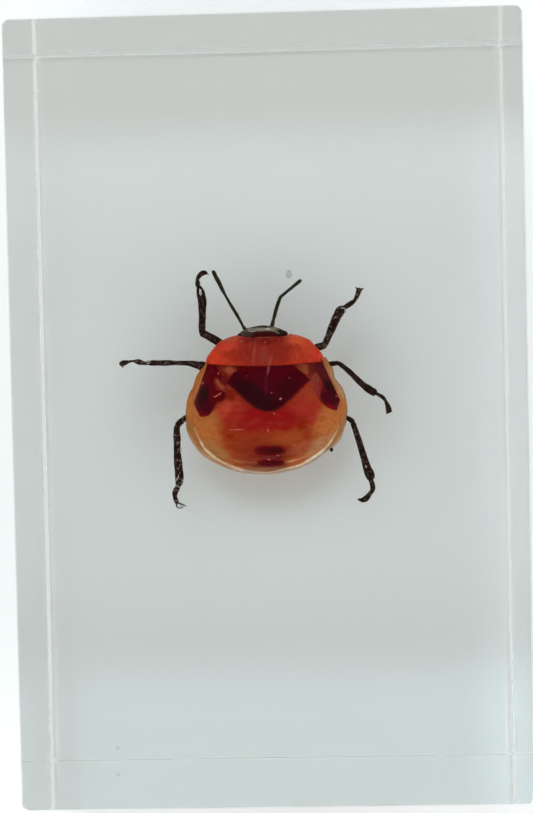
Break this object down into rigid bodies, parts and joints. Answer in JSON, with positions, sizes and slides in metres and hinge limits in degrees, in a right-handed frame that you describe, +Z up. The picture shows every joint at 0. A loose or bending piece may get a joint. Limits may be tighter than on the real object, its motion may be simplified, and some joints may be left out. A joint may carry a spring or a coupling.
{
  "type": "insect in resin block",
  "caption": "Clear cast resin slab with rounded corners and a young shield bug sealed inside, back up and legs spread; a desk specimen to look at from all sides.",
  "frame": {"origin": "middle of the large face that the slab rests on", "axes": "+Y along the slab's length, from the bug's tail to its head; +X across it, to the bug's right; +Z up through the slab's thickness, the way the bug's back faces"},
  "size_m": [0.0286, 0.044, 0.017],
  "materials": {
    "clear_resin": "clear, cast and polished",
    "insect_cuticle": "glossy, orange red and amber with dark maroon plates, black legs"
  },
  "bodies": {
    "root": {"resin_lower_half": "clear_resin", "resin_upper_half": "clear_resin", "insect": "insect_cuticle"}
  },
  "joints": []
}
